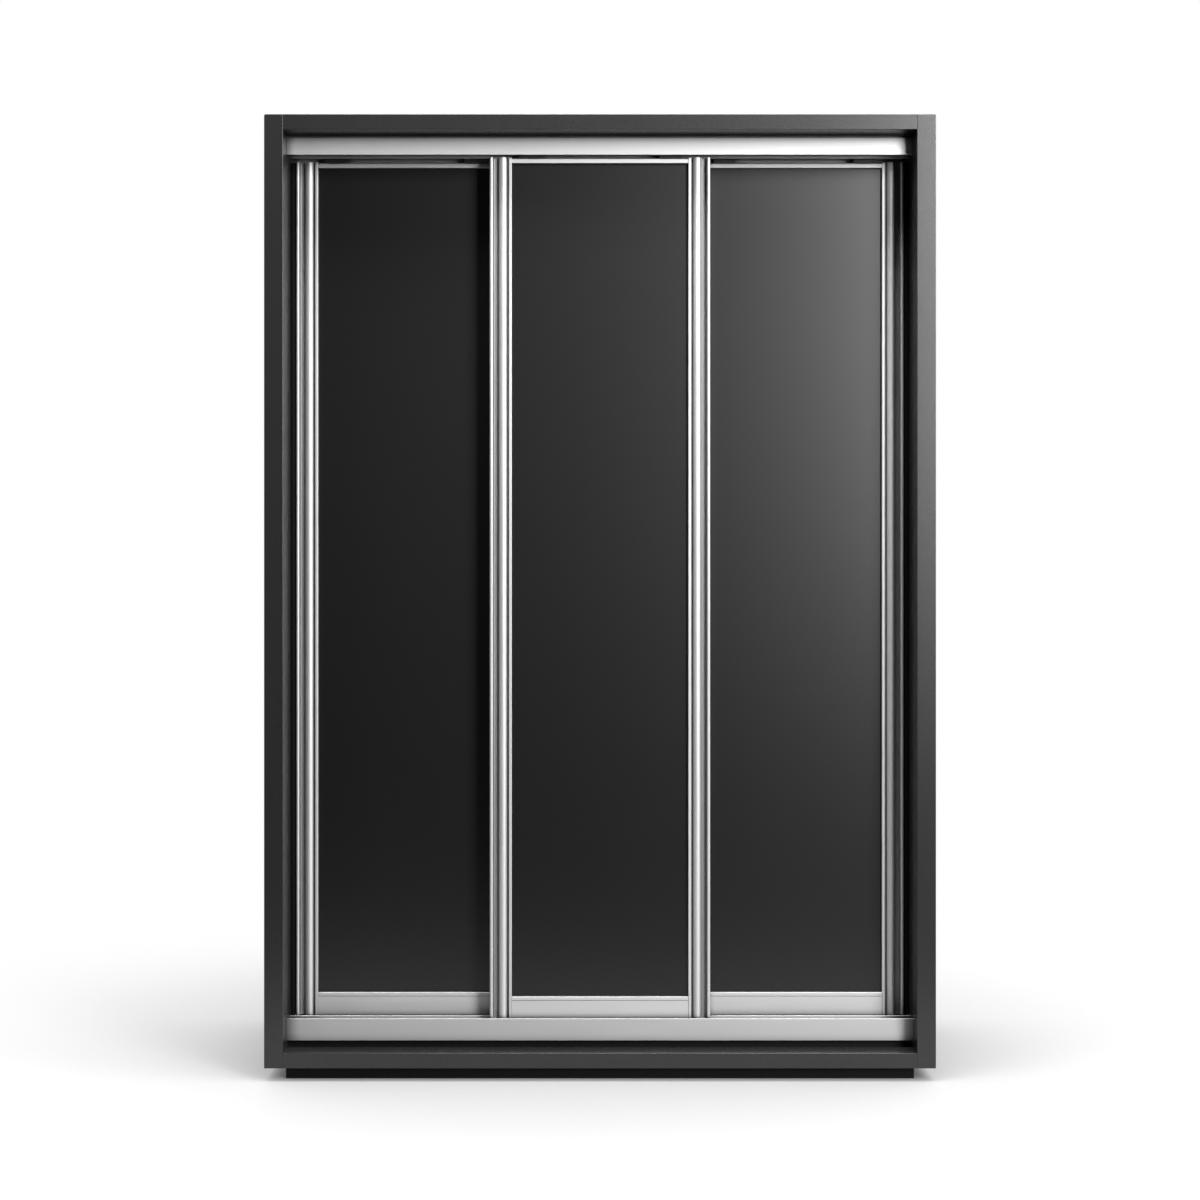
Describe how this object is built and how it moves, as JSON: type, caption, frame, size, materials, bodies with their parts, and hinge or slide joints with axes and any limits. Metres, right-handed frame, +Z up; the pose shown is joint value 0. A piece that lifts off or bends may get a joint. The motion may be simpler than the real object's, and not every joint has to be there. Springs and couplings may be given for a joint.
{
  "type": "sliding door wardrobe",
  "caption": "Free-standing wardrobe with aluminium-framed dark sliding doors on a front and a rear lane, over shelves and hanging space, on a recessed plinth.",
  "frame": {"origin": "on the floor, in the middle of the footprint", "axes": "+Z up, the front with the doors faces -Y, +X to the right seen from the front"},
  "size_m": [1.5, 0.65, 2.16],
  "materials": {
    "carcass_board": "matte",
    "inner_board": "matte",
    "back_board": "matte",
    "black_board": "matte",
    "door_panel": "satin",
    "anodised_aluminium": "satin",
    "rail_chrome": "polished",
    "zinc_steel": "satin",
    "black_plastic": "matte",
    "white_nylon": "satin",
    "black_rubber": "matte"
  },
  "bodies": {
    "cabinet": {"left_side_panel": "carcass_board", "right_side_panel": "carcass_board", "top_panel": "carcass_board", "bottom_panel": "carcass_board", "left_divider": "inner_board", "right_divider": "inner_board", "back_panel_left": "back_board", "back_panel_middle": "back_board", "back_panel_right": "back_board", "left_hat_shelf": "inner_board", "middle_hat_shelf": "inner_board", "right_hat_shelf": "inner_board", "left_shelf_1": "inner_board", "left_shelf_2": "inner_board", "left_shelf_3": "inner_board", "middle_hanging_rail": "rail_chrome", "right_hanging_rail": "rail_chrome", "rail_sockets": "zinc_steel", "shelf_pins": "zinc_steel", "wall_fixing_rail": "inner_board", "plinth_front": "black_board", "plinth_runners": "black_board", "top_track": "anodised_aluminium", "bottom_track": "anodised_aluminium", "track_packer": "black_board", "panel_screws": "zinc_steel", "track_stops": "black_plastic", "cam_fittings": "zinc_steel"},
    "left_door": {"left_door_left_stile": "anodised_aluminium", "left_door_right_stile": "anodised_aluminium", "left_door_top_rail": "anodised_aluminium", "left_door_bottom_rail": "anodised_aluminium", "left_door_panel": "door_panel", "left_door_frame_screws": "zinc_steel", "left_door_roller_housings": "black_plastic", "left_door_top_guides": "black_plastic", "left_door_edge_seal": "black_rubber"},
    "middle_door": {"middle_door_left_stile": "anodised_aluminium", "middle_door_right_stile": "anodised_aluminium", "middle_door_top_rail": "anodised_aluminium", "middle_door_bottom_rail": "anodised_aluminium", "middle_door_panel": "door_panel", "middle_door_frame_screws": "zinc_steel", "middle_door_roller_housings": "black_plastic", "middle_door_top_guides": "black_plastic"},
    "right_door": {"right_door_left_stile": "anodised_aluminium", "right_door_right_stile": "anodised_aluminium", "right_door_top_rail": "anodised_aluminium", "right_door_bottom_rail": "anodised_aluminium", "right_door_panel": "door_panel", "right_door_frame_screws": "zinc_steel", "right_door_roller_housings": "black_plastic", "right_door_top_guides": "black_plastic", "right_door_edge_seal": "black_rubber"},
    "left_door_left_roller": {"left_door_left_roller": "white_nylon"},
    "left_door_right_roller": {"left_door_right_roller": "white_nylon"},
    "middle_door_left_roller": {"middle_door_left_roller": "white_nylon"},
    "middle_door_right_roller": {"middle_door_right_roller": "white_nylon"},
    "right_door_left_roller": {"right_door_left_roller": "white_nylon"},
    "right_door_right_roller": {"right_door_right_roller": "white_nylon"}
  },
  "joints": [
    {"name": "left_door_slide", "type": "slide", "parent": "cabinet", "child": "left_door", "axis": [1, 0, 0], "range_m": [0, 0.195]},
    {"name": "middle_door_slide", "type": "slide", "parent": "cabinet", "child": "middle_door", "axis": [1, 0, 0], "range_m": [-0.446, 0.446]},
    {"name": "right_door_slide", "type": "slide", "parent": "cabinet", "child": "right_door", "axis": [1, 0, 0], "range_m": [-0.195, 0]},
    {"name": "left_door_left_roller_spin", "type": "hinge", "parent": "left_door", "child": "left_door_left_roller", "pos_m": [-0.606, -0.1965, 0.1023], "axis": [0, 1, 0], "continuous": true},
    {"name": "left_door_right_roller_spin", "type": "hinge", "parent": "left_door", "child": "left_door_right_roller", "pos_m": [-0.286, -0.1965, 0.1023], "axis": [0, 1, 0], "continuous": true},
    {"name": "middle_door_left_roller_spin", "type": "hinge", "parent": "middle_door", "child": "middle_door_left_roller", "pos_m": [-0.16, -0.2445, 0.1023], "axis": [0, 1, 0], "continuous": true},
    {"name": "middle_door_right_roller_spin", "type": "hinge", "parent": "middle_door", "child": "middle_door_right_roller", "pos_m": [0.16, -0.2445, 0.1023], "axis": [0, 1, 0], "continuous": true},
    {"name": "right_door_left_roller_spin", "type": "hinge", "parent": "right_door", "child": "right_door_left_roller", "pos_m": [0.286, -0.1965, 0.1023], "axis": [0, 1, 0], "continuous": true},
    {"name": "right_door_right_roller_spin", "type": "hinge", "parent": "right_door", "child": "right_door_right_roller", "pos_m": [0.606, -0.1965, 0.1023], "axis": [0, 1, 0], "continuous": true}
  ],
  "couplings": [
    {"joint": "left_door_left_roller_spin", "follows": "left_door_slide", "rad_per_m": 71.429},
    {"joint": "left_door_right_roller_spin", "follows": "left_door_slide", "rad_per_m": 71.429},
    {"joint": "middle_door_left_roller_spin", "follows": "middle_door_slide", "rad_per_m": 71.429},
    {"joint": "middle_door_right_roller_spin", "follows": "middle_door_slide", "rad_per_m": 71.429},
    {"joint": "right_door_left_roller_spin", "follows": "right_door_slide", "rad_per_m": 71.429},
    {"joint": "right_door_right_roller_spin", "follows": "right_door_slide", "rad_per_m": 71.429}
  ]
}
